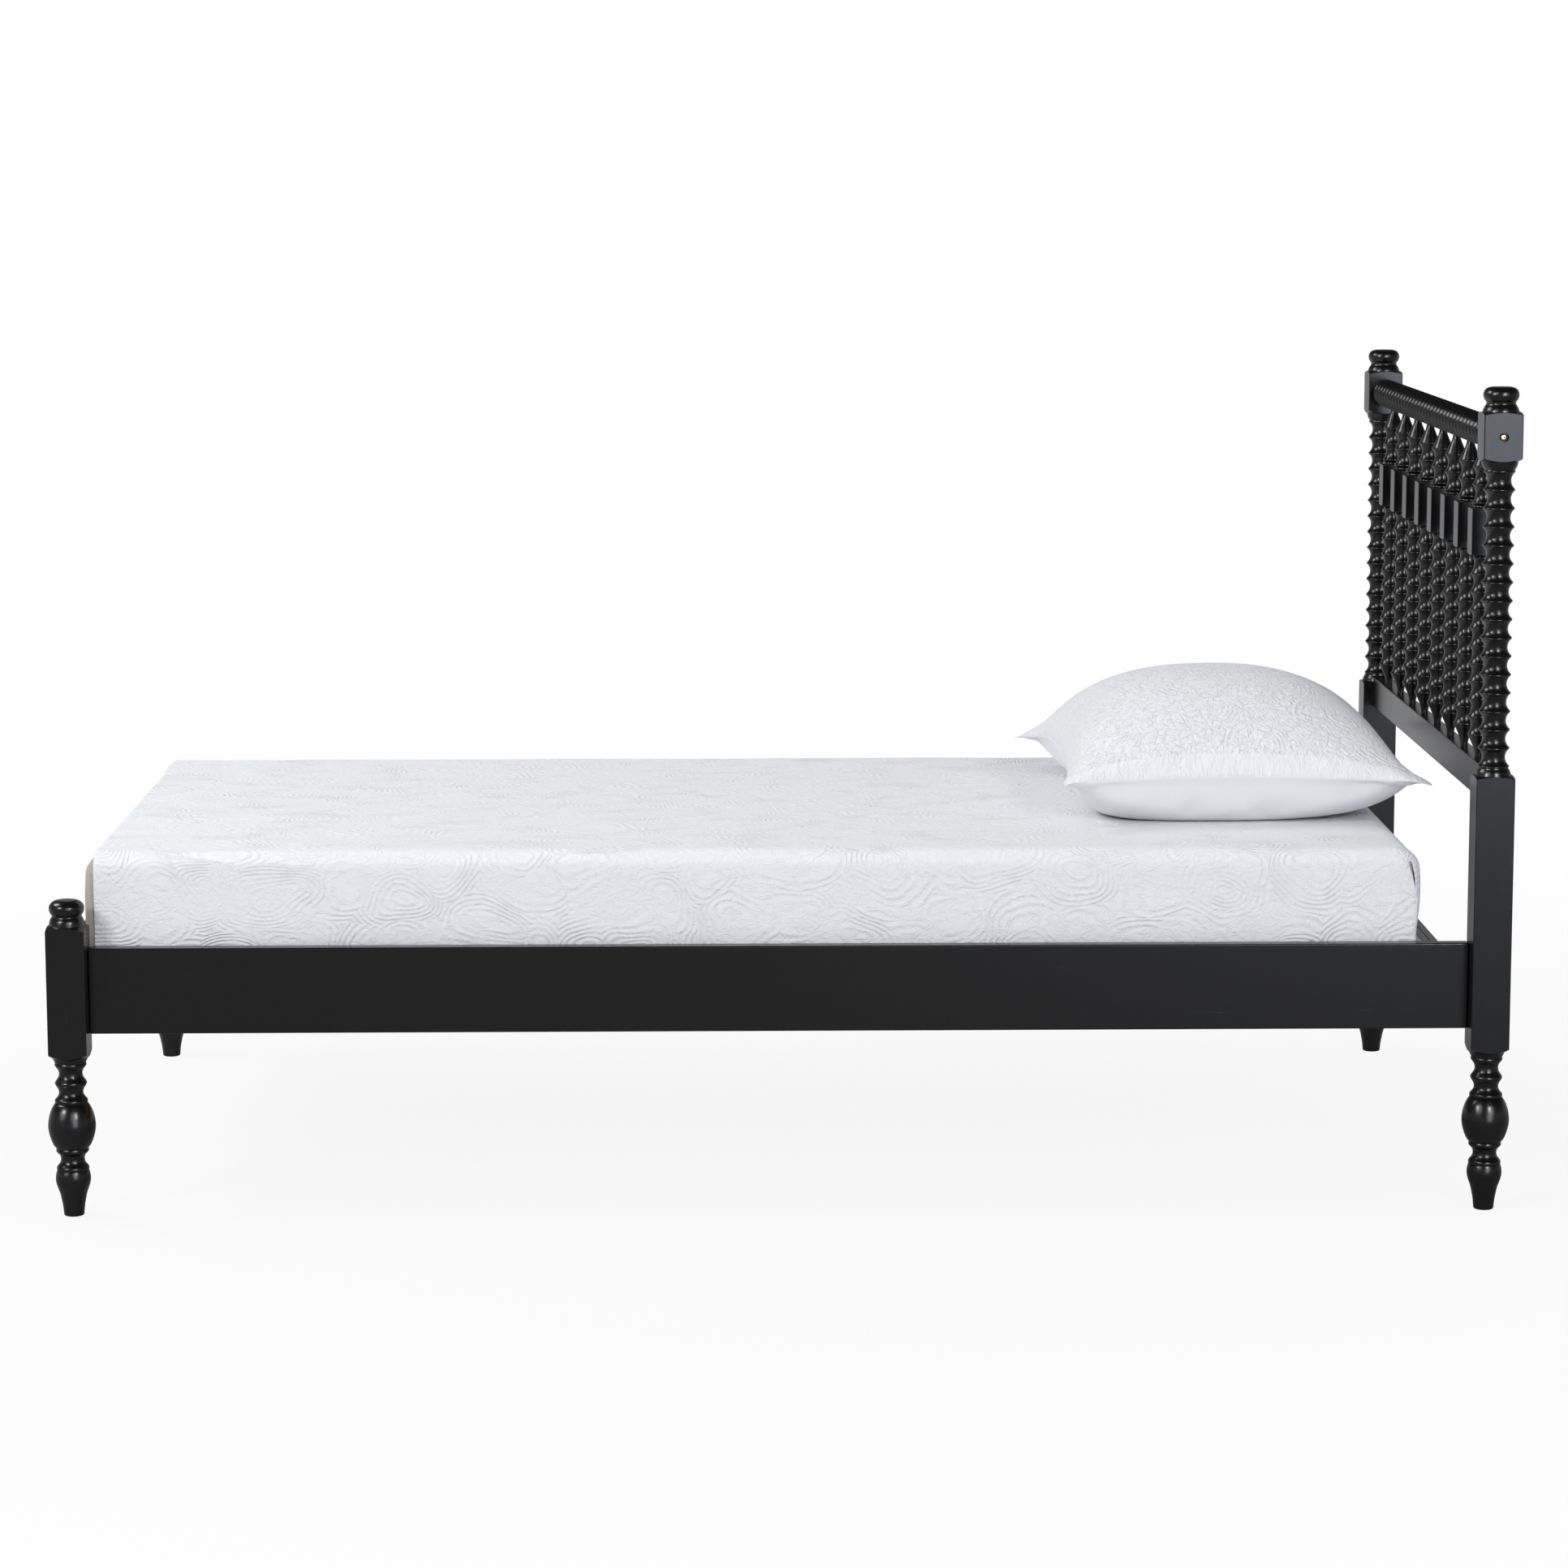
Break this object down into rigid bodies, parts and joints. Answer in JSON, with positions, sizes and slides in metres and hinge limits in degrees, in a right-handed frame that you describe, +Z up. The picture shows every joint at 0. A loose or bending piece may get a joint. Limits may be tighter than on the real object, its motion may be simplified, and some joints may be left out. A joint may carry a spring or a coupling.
{
  "type": "spindle bed",
  "caption": "Twin bed with bobbin-turned posts and headboard spindles, plain side rails, slats, mattress, coverlet and pillow.",
  "frame": {"origin": "centre of the bed's footprint, on the floor", "axes": "+X towards the headboard along the bed's length, +Y across the bed, +Z up"},
  "size_m": [2.0486, 1.1426, 1.1567],
  "materials": {
    "black_paint": "satin near-black paint on turned hardwood",
    "bare_wood": "planed, unpainted",
    "brass_bolts": "brass plated, polished",
    "steel_nuts": "zinc plated",
    "mattress_ticking": "woven cover, filled",
    "coverlet_cloth": "white matelasse weave",
    "sham_cloth": "white, crinkled weave above, plain below",
    "pillow_filling": "plain cotton cover, filled"
  },
  "bodies": {
    "bed_frame": {"foot_post_far": "black_paint", "foot_post_near": "black_paint", "foot_rail": "black_paint", "head_cleat": "black_paint", "head_cross_rail": "black_paint", "head_post_far": "black_paint", "head_post_near": "black_paint", "headboard_lower_rail": "black_paint", "headboard_spindle_1": "black_paint", "headboard_spindle_2": "black_paint", "headboard_spindle_3": "black_paint", "headboard_spindle_4": "black_paint", "headboard_spindle_5": "black_paint", "headboard_spindle_6": "black_paint", "headboard_spindle_7": "black_paint", "headboard_spindle_8": "black_paint", "headboard_top_rail": "black_paint", "side_rail_barrel_nuts": "steel_nuts", "side_rail_bolts": "brass_bolts", "side_rail_far": "black_paint", "side_rail_near": "black_paint", "slat_01": "bare_wood", "slat_02": "bare_wood", "slat_03": "bare_wood", "slat_04": "bare_wood", "slat_05": "bare_wood", "slat_06": "bare_wood", "slat_07": "bare_wood", "slat_08": "bare_wood", "slat_09": "bare_wood", "slat_10": "bare_wood", "slat_11": "bare_wood", "slat_12": "bare_wood", "slat_13": "bare_wood", "slat_14": "bare_wood", "slat_ledger_far": "bare_wood", "slat_ledger_near": "bare_wood", "top_rail_bolts": "brass_bolts", "top_rail_inserts": "brass_bolts"},
    "bedding": {"coverlet": "coverlet_cloth", "mattress": "mattress_ticking"},
    "pillow": {"pillow_insert": "pillow_filling", "pillow_sham": "sham_cloth"}
  },
  "joints": [
    {"name": "mattress_lift", "type": "slide", "parent": "bed_frame", "child": "bedding", "axis": [0, 0, 1], "range_m": [0, 0.35]},
    {"name": "pillow_lift", "type": "slide", "parent": "bedding", "child": "pillow", "axis": [0, 0, 1], "range_m": [0, 0.25]}
  ]
}
